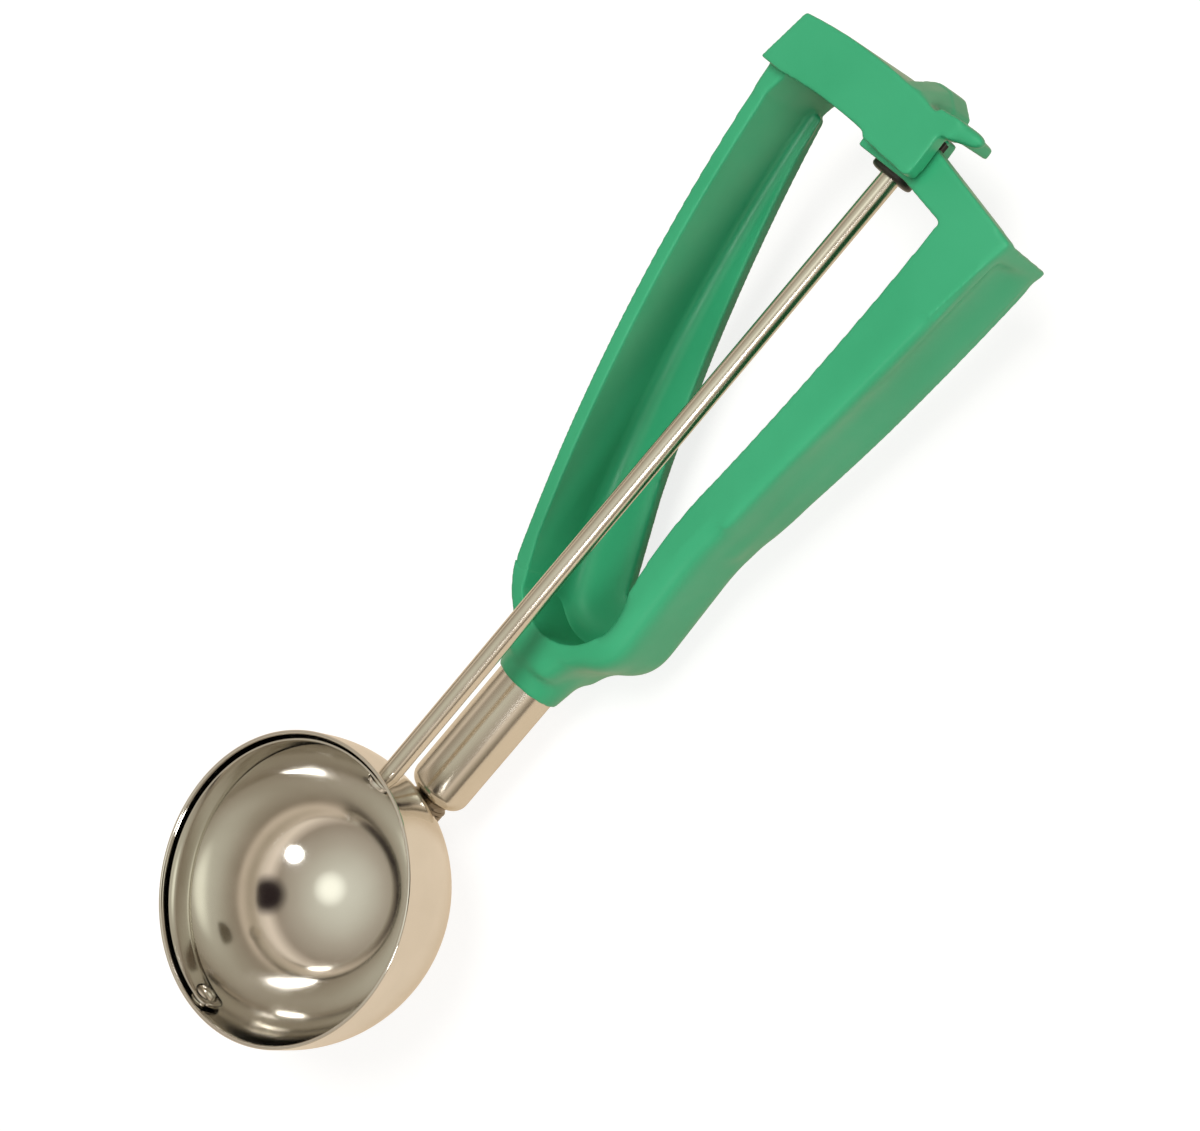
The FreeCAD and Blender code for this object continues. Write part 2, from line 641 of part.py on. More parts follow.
def add_rack(body):
    """Rack teeth inside the cross-arm, set round the bending line."""
    pitch_z = top_z - pitch_radius
    root_z = pitch_z - S["gear_module"] * 1.6
    tip_z = pitch_z + S["gear_module"] * 0.6
    floor_z = S["back_thickness"] - S["handle_thickness"]
    near, far = mesh_radius - S["rack_width"] / 2, mesh_radius + S["rack_width"] / 2
    first_y, last_y = -1.6, 22.0
    bar = [
        (about_hinge(near, first_y), first_y), (about_hinge(far, first_y), first_y, far, 1),
        (about_hinge(far, last_y), last_y), (about_hinge(near, last_y), last_y, near, -1)]
    pad(body, outline(add_sketch(body, "rack_bar", "XY_Plane", floor_z), bar), root_z - floor_z)

    slope = math.tan(math.radians(PRESSURE_ANGLE))
    half = tooth_pitch / 4 - S["backlash"] / 2
    below = pitch_z - root_z + 0.1
    above = tip_z - pitch_z
    tooth = [
        (-half - below * slope, pitch_z - below), (half + below * slope, pitch_z - below),
        (half - above * slope, tip_z), (-half + above * slope, tip_z)]
    near_x = about_hinge(near, 0.0)
    sketch = outline(add_sketch(body, "rack_tooth", "YZ_Plane", near_x), tooth)
    first = pad(body, sketch, S["rack_width"])

    axis = add_sketch(body, "bending_line", "XY_Plane")
    axis.AttachmentOffset = Placement(Vector(S["hinge_x"].value, S["hinge_y"].value, 0), Rotation())
    bind(axis, "AttachmentOffset.Base.x", S["hinge_x"])
    bind(axis, "AttachmentOffset.Base.y", S["hinge_y"])
    step = tooth_pitch / (top_x - S["hinge_x"]) * (180 / math.pi)
    pattern = body.newObject("PartDesign::PolarPattern", "rack_teeth")
    pattern.Originals = [first]
    pattern.Axis = (axis, ["N_Axis"])
    pattern.Occurrences = RACK_TEETH
    pattern.Angle = (step * (RACK_TEETH - 1)).value
    bind(pattern, "Angle", step * (RACK_TEETH - 1))
    body.Tip = pattern


# Pinion, top bush and retaining ring, at the shaft's upper end.
def make_pinion():
    body = make_body("pinion")
    tip = pitch_radius + S["gear_module"]
    bottom = pitch_radius - S["gear_module"] * 1.25
    hub = circle(add_sketch(body, "pinion_hub", "YZ_Plane", S["gear_start"]), size(0), size(0), bottom)
    pad(body, hub, S["gear_width"])
    # A tooth with straight flanks that follow the rack's, narrowed towards its tip.
    half_pitch = tooth_pitch / 4 - S["backlash"] / 4
    half_tip = half_pitch * 0.36
    half_root = half_pitch * 1.25
    tooth = [
        (-half_root, bottom - 0.4), (half_root, bottom - 0.4), (half_pitch, pitch_radius),
        (half_tip, tip), (-half_tip, tip), (-half_pitch, pitch_radius)]
    sketch = outline(add_sketch(body, "pinion_tooth", "YZ_Plane", S["gear_start"]), tooth)
    first = pad(body, sketch, S["gear_width"])
    pattern = body.newObject("PartDesign::PolarPattern", "pinion_teeth")
    pattern.Originals = [first]
    pattern.Axis = (hub, ["N_Axis"])
    pattern.Angle = 360.0
    pattern.Occurrences = PINION_TEETH
    body.Tip = pattern
    bore = circle(add_sketch(body, "pinion_bore", "YZ_Plane", S["gear_start"] + S["gear_width"]),
                  size(0), size(0), S["shaft_radius"] + S["seat_gap"])
    pocket(body, bore, S["gear_width"])
    # At rest a gap between two teeth faces the rack.
    body.Placement = Placement(
        Vector(0, 0, axis_z.value), Rotation(Vector(1, 0, 0), 180 / PINION_TEETH))
    bind(body, "Placement.Base.z", axis_z)
    return body


def make_shaft_bush():
    start = bush_start
    seat = start + S["bush_flange_thickness"]
    bore = S["shaft_radius"] + S["running_gap"]
    rim, barrel, bevel = S["bush_flange_radius"], S["bush_radius"], 0.5
    profile = [
        (start, bore), (seat + S["bush_length"], bore), (seat + S["bush_length"], barrel),
        (seat, barrel), (seat, rim), (start + bevel, rim), (start, rim - bevel)]
    return turned_piece("shaft_bush", profile, axis_z)


def make_retaining_ring():
    start = S["gear_start"] + S["gear_width"] + 0.05
    return bore_ring("retaining_ring", start, S["ring_thickness"],
                     S["shaft_radius"] + S["seat_gap"], S["ring_radius"])


def build():
    return [
        make_bowl(), make_neck_boss(), make_neck_tube(), make_drive_shaft(), make_scraper_blade(),
        make_blade_collar(), make_pivot_rivet(), make_pivot_washer(), make_handle_frame(),
        make_squeeze_lever(), make_pinion(), make_shaft_bush(), make_retaining_ring()]


def check_and_write(pieces):
    """Stops on any failed object or bad shape, then writes one STEP file for each piece."""
    doc.recompute()
    for item in doc.Objects:
        if "Invalid" in item.State or "Error" in item.State:
            raise RuntimeError("%s is in state %s" % (item.Name, item.State))
    os.makedirs("parts", exist_ok=True)
    for piece in pieces:
        shape = piece.Shape
        if shape.isNull() or not shape.isValid() or len(shape.Solids) != 1:
            raise RuntimeError("%s has a bad shape" % piece.Label)
        shape.exportStep("parts/%s.step" % piece.Label)
        print("%-16s %8.1f mm3" % (piece.Label, shape.Volume))


check_and_write(build())
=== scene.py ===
import bmesh
import bpy
import math
import numpy as np
from mathutils import Matrix, Vector


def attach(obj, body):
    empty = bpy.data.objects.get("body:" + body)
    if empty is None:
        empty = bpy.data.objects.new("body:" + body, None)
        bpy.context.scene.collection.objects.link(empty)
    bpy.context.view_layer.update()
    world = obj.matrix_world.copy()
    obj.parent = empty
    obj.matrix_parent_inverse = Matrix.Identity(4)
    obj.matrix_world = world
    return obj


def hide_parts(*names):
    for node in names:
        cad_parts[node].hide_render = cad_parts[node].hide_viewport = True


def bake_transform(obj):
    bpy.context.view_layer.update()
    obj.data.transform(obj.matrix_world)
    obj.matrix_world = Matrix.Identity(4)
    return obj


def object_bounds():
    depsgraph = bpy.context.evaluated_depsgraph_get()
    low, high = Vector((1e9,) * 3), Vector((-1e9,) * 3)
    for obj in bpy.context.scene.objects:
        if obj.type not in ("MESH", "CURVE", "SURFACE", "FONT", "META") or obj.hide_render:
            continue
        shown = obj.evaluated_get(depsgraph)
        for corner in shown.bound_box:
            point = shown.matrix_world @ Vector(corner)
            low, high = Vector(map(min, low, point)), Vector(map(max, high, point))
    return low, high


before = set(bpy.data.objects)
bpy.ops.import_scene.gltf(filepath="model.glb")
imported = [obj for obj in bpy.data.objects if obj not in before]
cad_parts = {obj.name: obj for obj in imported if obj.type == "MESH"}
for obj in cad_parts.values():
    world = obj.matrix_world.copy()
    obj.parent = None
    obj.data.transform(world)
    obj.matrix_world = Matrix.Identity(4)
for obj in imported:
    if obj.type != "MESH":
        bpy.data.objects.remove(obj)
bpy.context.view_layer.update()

MM = 0.001

# Driving places, in millimetres of the row frame, as the solids have them.
AXIS_Z = -5.0
TUBE_Z = -24.3
MOUTH_RADIUS = 33.2
BOWL_WALL = 0.9
BLADE_OUTSIDE = 31.7
BLADE_INSIDE = 31.0
BLADE_HALF_WIDTH = 3.5
BLADE_OVERLAP = 4.2
BOSS_RADIUS = 4.6
TUBE_RADIUS = 6.9
TUBE_START, TUBE_END = 30.0, 73.4
TUBE_WALL = 1.0
SHAFT_RADIUS = 2.2
SHAFT_START, SHAFT_END = 29.6, 203.2
BUSH_START, BUSH_SEAT, BUSH_END = 190.7, 192.8, 198.6

# The handle's own frame leans; its front face is z = 0 there.
HANDLE_TILT = math.radians(7.5)
HANDLE = Matrix.Translation((72 * MM, 0, -13.9 * MM)) @ Matrix.Rotation(-HANDLE_TILT, 4, "Y")
HINGE = (13.5, 13.6)
HANDLE_DEPTH = 21.0
SKIN = 3.4
LIP_THICKNESS = 3.2
LIP_FACE = LIP_THICKNESS - HANDLE_DEPTH
# Added forms end a hair before the back.
BACK_FACE = -20.9
TROUGH = (16.5, 0.2)
TROUGH_RADIUS = 13.1
ARM_BOW = 390.0
ARM_TOP_X = 121.9
WEB_START = (HINGE[0] + 4.0, HINGE[1] + 3.8 - SKIN)
WEB_END = (119.0, 34.4 - SKIN)

# How finely the mouldings are skinned and how often their edges are smoothed.
VOXEL = 0.33
PASSES = 16
ROUNDED_PASSES = PASSES * 12


# Materials

# Scale of the fine polishing marks: even, or drawn out along the row's x.
EVEN = (1, 1, 1)
ALONG_X = (0.02, 1, 1)
GRAIN_HEIGHT = 0.00002


def new_material(name):
    material = bpy.data.materials.new(name)
    material.use_nodes = True
    nodes = material.node_tree.nodes
    nodes.clear()
    output = nodes.new("ShaderNodeOutputMaterial")
    shader = nodes.new("ShaderNodeBsdfPrincipled")
    material.node_tree.links.new(shader.outputs["BSDF"], output.inputs["Surface"])
    return material, material.node_tree, shader


def object_coordinates(tree, stretch=(1, 1, 1)):
    """Object coordinates, scaled by stretch."""
    coordinates = tree.nodes.new("ShaderNodeTexCoord")
    mapping = tree.nodes.new("ShaderNodeMapping")
    mapping.inputs["Scale"].default_value = stretch
    tree.links.new(coordinates.outputs["Object"], mapping.inputs["Vector"])
    return mapping.outputs["Vector"]


def noise(tree, vector, scale, detail=3.0, roughness=0.5):
    texture = tree.nodes.new("ShaderNodeTexNoise")
    texture.inputs["Scale"].default_value = scale
    texture.inputs["Detail"].default_value = detail
    texture.inputs["Roughness"].default_value = roughness
    tree.links.new(vector, texture.inputs["Vector"])
    return texture.outputs["Fac"]


def spread(tree, value, low, high, source=(0.35, 0.65)):
    """Maps a noise value onto low..high."""
    node = tree.nodes.new("ShaderNodeMapRange")
    node.inputs["From Min"].default_value, node.inputs["From Max"].default_value = source
    node.inputs["To Min"].default_value, node.inputs["To Max"].default_value = low, high
    tree.links.new(value, node.inputs["Value"])
    return node.outputs["Result"]


def colour_between(tree, value, first, second):
    ramp = tree.nodes.new("ShaderNodeValToRGB")
    ramp.color_ramp.elements[0].position = 0.3
    ramp.color_ramp.elements[0].color = (*first, 1)
    ramp.color_ramp.elements[1].position = 0.7
    ramp.color_ramp.elements[1].color = (*second, 1)
    tree.links.new(value, ramp.inputs["Fac"])
    return ramp.outputs["Color"]


def bump(tree, shader, height, strength, distance):
    node = tree.nodes.new("ShaderNodeBump")
    node.inputs["Strength"].default_value = strength
    node.inputs["Distance"].default_value = distance
    tree.links.new(height, node.inputs["Height"])
    tree.links.new(node.outputs["Normal"], shader.inputs["Normal"])


def polished_steel(name, first, second, rough_low, rough_high, grain, depth=0.03):
    """Bright steel with faint smears. grain stretches the fine polishing marks."""
    material, tree, shader = new_material(name)
    shader.inputs["Metallic"].default_value = 1.0
    smears = noise(tree, object_coordinates(tree), 60, 4)
    tree.links.new(colour_between(tree, smears, first, second), shader.inputs["Base Color"])
    tree.links.new(spread(tree, smears, rough_low, rough_high), shader.inputs["Roughness"])
    marks = noise(tree, object_coordinates(tree, grain), 2200, 2)
    bump(tree, shader, marks, depth, GRAIN_HEIGHT)
    return material


def moulded_plastic(name, first, second, rough_low, rough_high):
    """Moulded plastic with a fine mould texture and faint flow marks."""
    material, tree, shader = new_material(name)
    flow = noise(tree, object_coordinates(tree), 45, 3)
    tree.links.new(colour_between(tree, flow, first, second), shader.inputs["Base Color"])
    handled = noise(tree, object_coordinates(tree), 160, 4)
    tree.links.new(spread(tree, handled, rough_low, rough_high), shader.inputs["Roughness"])
    grain = noise(tree, object_coordinates(tree), 3800, 2)
    bump(tree, shader, grain, 0.12, GRAIN_HEIGHT)
    return material


STEEL = polished_steel(
    "polished_steel", (0.74, 0.72, 0.67), (0.81, 0.79, 0.75), 0.07, 0.13, EVEN)
DRAWN_STEEL = polished_steel(
    "drawn_steel", (0.68, 0.64, 0.56), (0.76, 0.72, 0.64), 0.19, 0.24, ALONG_X, 0.001)
# A dark steel colour for the neck stub.
DARK_STEEL = polished_steel(
    "dark_stub_steel", (0.20, 0.17, 0.14), (0.32, 0.28, 0.22), 0.14, 0.26, EVEN)
GREEN = moulded_plastic(
    "green_plastic", (0.032, 0.350, 0.165), (0.042, 0.385, 0.188), 0.32, 0.40)
BLACK = moulded_plastic(
    "black_plastic", (0.016, 0.013, 0.011), (0.026, 0.022, 0.019), 0.35, 0.5)


# Building

def add_piece(name, mesh, body, material, replaced=()):
    """A new piece in the row frame that rides on a body and stands for CAD nodes."""
    piece = bpy.data.objects.new(name, mesh)
    bpy.context.scene.collection.objects.link(piece)
    mesh.materials.clear()
    mesh.materials.append(material)
    if body is not None:
        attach(piece, body)
    if replaced:
        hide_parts(*replaced)
    return piece


def mesh_from(bm, name, smooth_angle=None):
    mesh = bpy.data.meshes.new(name)
    bm.to_mesh(mesh)
    bm.free()
    mesh.polygons.foreach_set("use_smooth", [True] * len(mesh.polygons))
    if smooth_angle is not None:
        mesh.set_sharp_from_angle(angle=math.radians(smooth_angle))
    return mesh


def arc(centre, radius, start, end, steps):
    """Points on an arc, angles in degrees."""
    angles = np.radians(np.linspace(start, end, steps + 1))
    return [(centre[0] + radius * math.cos(a), centre[1] + radius * math.sin(a)) for a in angles]


def turned(name, profile, place, segments=160, smooth_angle=35):
    """A closed profile of (along, radius) turned about its axis and set by place."""
    bm = bmesh.new()
    rings = []
    for along, radius in profile:
        if radius < 1e-6:
            rings.append([bm.verts.new((along * MM, 0, 0))])
            continue
        ring = []
        for i in range(segments):
            turn = 2 * math.pi * i / segments
            across, up = radius * MM * math.cos(turn), radius * MM * math.sin(turn)
            ring.append(bm.verts.new((along * MM, across, up)))
        rings.append(ring)
    for i, ring in enumerate(rings):
        after = rings[(i + 1) % len(rings)]
        if len(ring) == 1 and len(after) == 1:
            continue
        for j in range(segments):
            k = (j + 1) % segments
            if len(ring) == 1:
                bm.faces.new((ring[0], after[k], after[j]))
            elif len(after) == 1:
                bm.faces.new((ring[j], ring[k], after[0]))
            else:
                bm.faces.new((ring[j], ring[k], after[k], after[j]))
    bmesh.ops.recalc_face_normals(bm, faces=bm.faces)
    bm.transform(place)
    return mesh_from(bm, name, smooth_angle)


def along_x(height):
    return Matrix.Translation((0, 0, height * MM))


# Bowl and neck

def make_bowl():
    """A hemisphere with a short straight wall and a rolled, polished rim."""
    wall, out = BOWL_WALL, MOUTH_RADIUS
    inside = out - wall
    # Heights run down from the mouth here, and the whole is turned to stand upright.
    outer = arc((-AXIS_Z, 0), out, 90, 0, 72)
    inner = arc((-AXIS_Z, 0), inside, 0, 90, 72)
    rim_radius = wall / 2
    rim = arc((rim_radius, out - rim_radius), rim_radius, 270, 90, 10)
    wall_out = [(2.0, out), (3.5, out)]
    wall_in = [(3.5, inside), (2.0, inside)]
    profile = rim + wall_out + outer + inner + wall_in
    upright = Matrix.Rotation(math.radians(90), 4, "Y")
    mesh = turned("bowl_shell", profile, upright, 224, 50)
    return add_piece("bowl_shell", mesh, "frame", STEEL, ["bowl"])


def make_neck():
    """The dark stub between bowl and tube, with its bead, and the tube with its rounded end."""
    start, end, bead = 24.5, TUBE_START - 0.02, 0.45
    stub = [(start, 0), (start, BOSS_RADIUS - 0.1), (TUBE_START - 2.6, BOSS_RADIUS - 0.1)]
    stub += arc((TUBE_START - 1.9, BOSS_RADIUS - bead), bead, 180, 0, 8)
    stub += [(TUBE_START - 0.9, BOSS_RADIUS - 0.55), (end, BOSS_RADIUS - 0.2), (end, 0)]
    boss = turned("neck_stub", stub, along_x(TUBE_Z), 96)
    add_piece("neck_stub", boss, "frame", DARK_STEEL, ["neck_boss"])

    nose = 3.2
    profile = [(TUBE_START, 0), (TUBE_START, TUBE_RADIUS - nose)]
    profile += arc((TUBE_START + nose, TUBE_RADIUS - nose), nose, 180, 90, 14)[1:]
    inside, nose_wall = TUBE_RADIUS - TUBE_WALL, 1.5
    profile += [(45, TUBE_RADIUS), (TUBE_END, TUBE_RADIUS), (TUBE_END, inside)]
    profile += [(TUBE_START + nose_wall, inside), (TUBE_START + nose_wall, 0)]
    tube = turned("neck_barrel", profile, along_x(TUBE_Z), 160)
    add_piece("neck_barrel", tube, "frame", DRAWN_STEEL, ["neck_tube"])


# Scraper

def make_shaft():
    bevel = 0.4
    profile = [
        (SHAFT_START, 0), (SHAFT_START, SHAFT_RADIUS - bevel), (SHAFT_START + bevel, SHAFT_RADIUS),
        (SHAFT_END - bevel, SHAFT_RADIUS), (SHAFT_END, SHAFT_RADIUS - bevel), (SHAFT_END, 0)]
    mesh = turned("shaft_rod", profile, along_x(AXIS_Z), 96)
    add_piece("shaft_rod", mesh, "scraper", DRAWN_STEEL, ["drive_shaft"])


def make_blade():
    """A half-round band with rounded ends, one at the shaft and one at the rivet."""
    steps, rows = 240, 8
    corner, edge_rounding = 2.9, 0.16
    over = math.degrees(math.asin(BLADE_OVERLAP / BLADE_OUTSIDE))
    angles = np.linspace(-over, 180 + over, steps + 1)
    bm = bmesh.new()
    sheets = []
    for radius in (BLADE_OUTSIDE, BLADE_INSIDE):
        sheet = []
        for angle in angles:
            to_end = min(angle + over, 180 + over - angle) * math.pi / 180 * BLADE_OUTSIDE
            inset = corner - math.sqrt(max(corner ** 2 - max(corner - to_end, 0) ** 2, 0))
            half = BLADE_HALF_WIDTH - inset
            a = math.radians(angle)
            column = []
            for row in range(rows + 1):
                side = 2 * row / rows - 1
                edge = abs(side) ** 8 * edge_rounding
                at = radius - edge if radius == BLADE_OUTSIDE else radius + edge
                column.append(bm.verts.new((
                    at * math.cos(a) * MM, at * math.sin(a) * MM, (AXIS_Z + side * half) * MM)))
            sheet.append(column)
        sheets.append(sheet)
    outer, inner = sheets
    for i in range(steps):
        for row in range(rows):
            above = row + 1
            bm.faces.new((outer[i][row], outer[i + 1][row], outer[i + 1][above], outer[i][above]))
            bm.faces.new((inner[i][row], inner[i][above], inner[i + 1][above], inner[i + 1][row]))
        for row in (0, rows):
            bm.faces.new((outer[i][row], inner[i][row], inner[i + 1][row], outer[i + 1][row]))
    for i in (0, steps):
        for row in range(rows):
            bm.faces.new((outer[i][row], outer[i][row + 1], inner[i][row + 1], inner[i][row]))
    bmesh.ops.recalc_face_normals(bm, faces=bm.faces)
    mesh = mesh_from(bm, "blade_band", 40)
    add_piece("blade_band", mesh, "scraper", STEEL, ["scraper_blade"])


def make_collar_and_rivet():
    collar = [(29.62, 0), (29.62, 2.5)] + arc((30.12, 2.9), 0.5, 180, 90, 6)
    collar += [(30.7, 3.4), (30.7, 0)]
    mesh = turned("collar_cap", collar, along_x(AXIS_Z), 64)
    add_piece("collar_cap", mesh, "scraper", STEEL, ["blade_collar"])
    near_head = [(-29.96, 0), (-30.0, 0.9), (-30.22, 1.7), (-30.5, 2.3), (-30.84, 2.65)]
    shank = [(-30.84, 1.5), (-33.2, 1.5)]
    far_head = [(-33.2, 2.65), (-33.5, 2.4), (-33.85, 1.7), (-34.05, 0.8), (-34.08, 0)]
    profile = near_head + shank + far_head
    mesh = turned("rivet_pin", profile, along_x(AXIS_Z), 64)
    add_piece("rivet_pin", mesh, "frame", STEEL, ["pivot_rivet"])


def make_bush():
    rim, barrel, bevel, bore = 4.7, 3.3, 0.55, SHAFT_RADIUS + 0.05
    profile = [
        (BUSH_START, bore), (BUSH_START, rim - bevel - 0.2), (BUSH_START + 0.2, rim - 0.25),
        (BUSH_START + bevel, rim), (BUSH_SEAT - 0.2, rim), (BUSH_SEAT, rim - 0.2),
        (BUSH_SEAT, barrel), (BUSH_END, barrel), (BUSH_END, bore)]
    mesh = turned("bush_flanged", profile, along_x(AXIS_Z), 80)
    add_piece("bush_flanged", mesh, "frame", BLACK, ["shaft_bush"])


# Handle mouldings, modelled in the handle's own frame and in millimetres there.

def bowed(first, last, radius, steps):
    """Points from first to last on an arc that bows towards +y."""
    (ax, ay), (bx, by) = first, last
    half = math.hypot(bx - ax, by - ay) / 2
    drop = math.sqrt(radius ** 2 - half ** 2)
    cx = (ax + bx) / 2 + drop * (by - ay) / (2 * half)
    cy = (ay + by) / 2 - drop * (bx - ax) / (2 * half)
    start = math.degrees(math.atan2(ay - cy, ax - cx))
    end = math.degrees(math.atan2(by - cy, bx - cx))
    return arc((cx, cy), radius, start, end, steps)


def add_prism(bm, outline, low, high):
    """A closed prism over a plan outline, between two heights."""
    bottom = [bm.verts.new((x * MM, y * MM, low * MM)) for x, y in outline]
    top = [bm.verts.new((x * MM, y * MM, high * MM)) for x, y in outline]
    faces = [bm.faces.new(list(reversed(bottom))), bm.faces.new(top)]
    for i in range(len(outline)):
        k = (i + 1) % len(outline)
        faces.append(bm.faces.new((bottom[i], bottom[k], top[k], top[i])))
    bmesh.ops.recalc_face_normals(bm, faces=faces)


def add_bridge(bm, first, second):
    """A closed solid between two matching rings of points."""
    rings = [[bm.verts.new(Vector(point) * MM) for point in ring] for ring in (first, second)]
    faces = [bm.faces.new(list(reversed(rings[0]))), bm.faces.new(rings[1])]
    for i in range(len(first)):
        k = (i + 1) % len(first)
        faces.append(bm.faces.new((rings[0][i], rings[0][k], rings[1][k], rings[1][i])))
    bmesh.ops.recalc_face_normals(bm, faces=faces)


def add_cove(bm, path, floor, radius_at):
    """A hollow fillet along a plan path, whose wall is on the path's left, over a floor."""
    steps = 8
    rings = []
    count = len(path)
    for i, (x, y) in enumerate(path):
        before, after = path[max(i - 1, 0)], path[min(i + 1, count - 1)]
        along = Vector((after[0] - before[0], after[1] - before[1])).normalized()
        inward = Vector((along.y, -along.x))
        radius = radius_at(i / (count - 1))
        section = [(-0.8, -0.8), (radius, -0.8), (radius, 0.0)]
        section += [
            (radius - radius * math.sin(a), radius - radius * math.cos(a))
            for a in np.linspace(0, math.pi / 2, steps + 1)[1:-1]]
        section += [(0.0, radius), (-0.8, radius)]
        rings.append([
            bm.verts.new(((x + inward.x * n) * MM, (y + inward.y * n) * MM, (floor + z) * MM))
            for n, z in section])
    faces = [bm.faces.new(rings[0]), bm.faces.new(list(reversed(rings[-1])))]
    for ring, after in zip(rings, rings[1:]):
        for j in range(len(ring)):
            k = (j + 1) % len(ring)
            faces.append(bm.faces.new((ring[j], after[j], after[k], ring[k])))
    bmesh.ops.recalc_face_normals(bm, faces=faces)


def soften(source, name, passes, weights):
    """Smooths the vertices, from not at all at weight zero to fully at one."""
    group = source.vertex_groups.new(name=name)
    levels = np.round(weights.astype(float), 2)
    for level in np.unique(levels[levels > 0]):
        group.add([int(i) for i in np.nonzero(levels == level)[0]], float(level), "REPLACE")
    smooth = source.modifiers.new(name, "SMOOTH")
    smooth.factor = 0.5
    smooth.iterations = passes
    smooth.vertex_group = name


def moulded(name, node, extras, rounded, crisp=None):
    """The CAD solid with extra forms, joined into one skin with softened edges.

    rounded gives each place its weight for the strong rounding, and crisp names the places
    that stay as they are.
    """
    bm = bmesh.new()
    bm.from_mesh(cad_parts[node].data)
    bm.transform(HANDLE.inverted())
    bmesh.ops.remove_doubles(bm, verts=bm.verts, dist=0.002 * MM)
    for add in extras:
        add(bm)
    source = bpy.data.objects.new(name + "_source", mesh_from(bm, name + "_source"))
    bpy.context.scene.collection.objects.link(source)
    remesh = source.modifiers.new("join", "REMESH")
    remesh.mode = "VOXEL"
    remesh.voxel_size = VOXEL * MM
    remesh.use_smooth_shade = True
    skin = evaluated(source, name)
    source.modifiers.clear()
    source.data = skin
    places = np.array([v.co for v in skin.vertices]) / MM
    kept = crisp(places) if crisp else np.zeros(len(places), bool)
    soften(source, "rounded", ROUNDED_PASSES, rounded(places))
    soften(source, "softened", PASSES, ~kept)
    mesh = evaluated(source, name)
    bpy.data.objects.remove(source)
    mesh.transform(HANDLE)
    mesh.polygons.foreach_set("use_smooth", [True] * len(mesh.polygons))
    return mesh


def evaluated(item, name):
    bpy.context.view_layer.update()
    graph = bpy.context.evaluated_depsgraph_get()
    mesh = bpy.data.meshes.new_from_object(item.evaluated_get(graph))
    mesh.name = name
    return mesh


def outer_side(t):
    """Plan place of the fixed arm's side from its waist (0) to its top (1): wall and lip."""
    waist_x, lean = 40.0, 9.2 / 74.3
    x = waist_x + (ARM_TOP_X - 0.6 - waist_x) * t
    wall = -21.0 - (x - 46.5) * lean
    lip = wall - 2.1 * min(1, max(0, (x - 44.0) / 55.0)) ** 0.8
    return x, wall, lip


def add_cove_slopes(bm):
    """The fixed arm's side falls in behind the front edge and flares to the rear lip."""
    steps, overlap = 24, 0.02
    for i in range(steps):
        rear, front = [], []
        for t in (i / steps, (i + 1 + overlap) / steps):
            x, wall, lip = outer_side(min(t, 1))
            inside = wall + 1.5
            rear.append([
                (x, inside, -6.0), (x, wall - 0.1, -8.5), (x, wall - 0.5, -12.0),
                (x, lip + 0.5, -16.4), (x, lip + 0.1, -18.4), (x, inside, -19.5)])
            front.append([
                (x, inside, -1.0), (x, lip + 0.6, -1.2), (x, lip + 0.8, -3.4), (x, wall, -6.6),
                (x, inside, -6.6)])
        add_bridge(bm, *rear)
        add_bridge(bm, *front)


def add_end_corner(bm):
    """The corner of the cross-piece runs down to the rear lip without a notch."""
    front = [(119.0, -29.5), (119.6, -32.0), (121.9, -32.7), (123.4, -32.9), (123.7, -31.2),
             (121.2, -29.2)]
    back = [(118.6, -28.8), (118.9, -31.2), (120.6, -32.2), (121.9, -32.2), (122.2, -31.0),
            (120.2, -28.8)]
    add_bridge(bm, [(x, y, -1) for x, y in front], [(x, y, BACK_FACE) for x, y in back])


def add_throat(bm):
    """The socket grows smoothly into the base."""
    rings = []
    for row_x, half_width, half_height in ((63.1, 7.75, 7.75), (70.8, 8.6, 10.1)):
        ring = []
        for turn in np.linspace(0, 2 * math.pi, 48, endpoint=False):
            across, up = half_width * math.cos(turn), half_height * math.sin(turn)
            ring.append(HANDLE.inverted() @ (Vector((row_x, across, TUBE_Z + up)) * MM) / MM)
        rings.append(ring)
    add_bridge(bm, *rings)


def rounded_frame(places):
    """The base, the socket's end, the arm's side, the cove above it and the rear lip."""
    x, y, z = places.T
    side = (x > 30) & (x < 104) & (y < -17.0 - (x - 46.5) * 0.13) & (z > -19.6)
    cove = (x > 96) & (x < 119.8) & (y < -24) & (z > -18.5) & (z < -4.5)
    base = (x > -7.5) & (x <= 36) & (y < -12.0 + 0.25 * (8 - x).clip(0)) & (z > -20.0)
    collar = (x > -6.8) & (x < 2.5)
    # The smoothing fades out along the rear lip, and is slight at the lip's top corner.
    waist = (x > 34) * (y < -17.5 - (x - 34) * 0.08) * np.clip((84 - x) / 40, 0, 1) ** 2
    corner = 0.2 * ((x > 117) & (y < -29))
    return np.maximum(side | cove | base | collar, np.maximum(waist, corner))


def make_frame_moulding():
    extras = [add_cove_slopes, add_end_corner, add_throat]
    mesh = moulded("handle_moulding", "handle_frame", extras, rounded_frame)
    add_piece("handle_moulding", mesh, "frame", GREEN, ["handle_frame"])


def add_root_plug(bm):
    """The arm's root runs on into the base, a hair under the base's own faces."""
    outer = bowed((3.4, 9.6), (10.7, 15.25), 21, 6)
    inner = [(12.5, 12.2), (10.9, 11.15), (7.4, 9.5), (5.8, 8.2)]
    add_prism(bm, outer + [(12.5, 15.6)] + inner, BACK_FACE, -0.08)


def add_trough_floor(bm):
    """The smooth floor that joins the lever's rear lip to the base."""
    outline = [
        (2.2, -9.0), (8.0, -13.6), (20.0, -14.4), (19.0, -8.6), (15.4, -1.8), (20.5, 0.45),
        (20.0, 12.0), (12.0, 13.0), (5.0, 9.0)]
    add_prism(bm, outline, BACK_FACE, LIP_FACE)


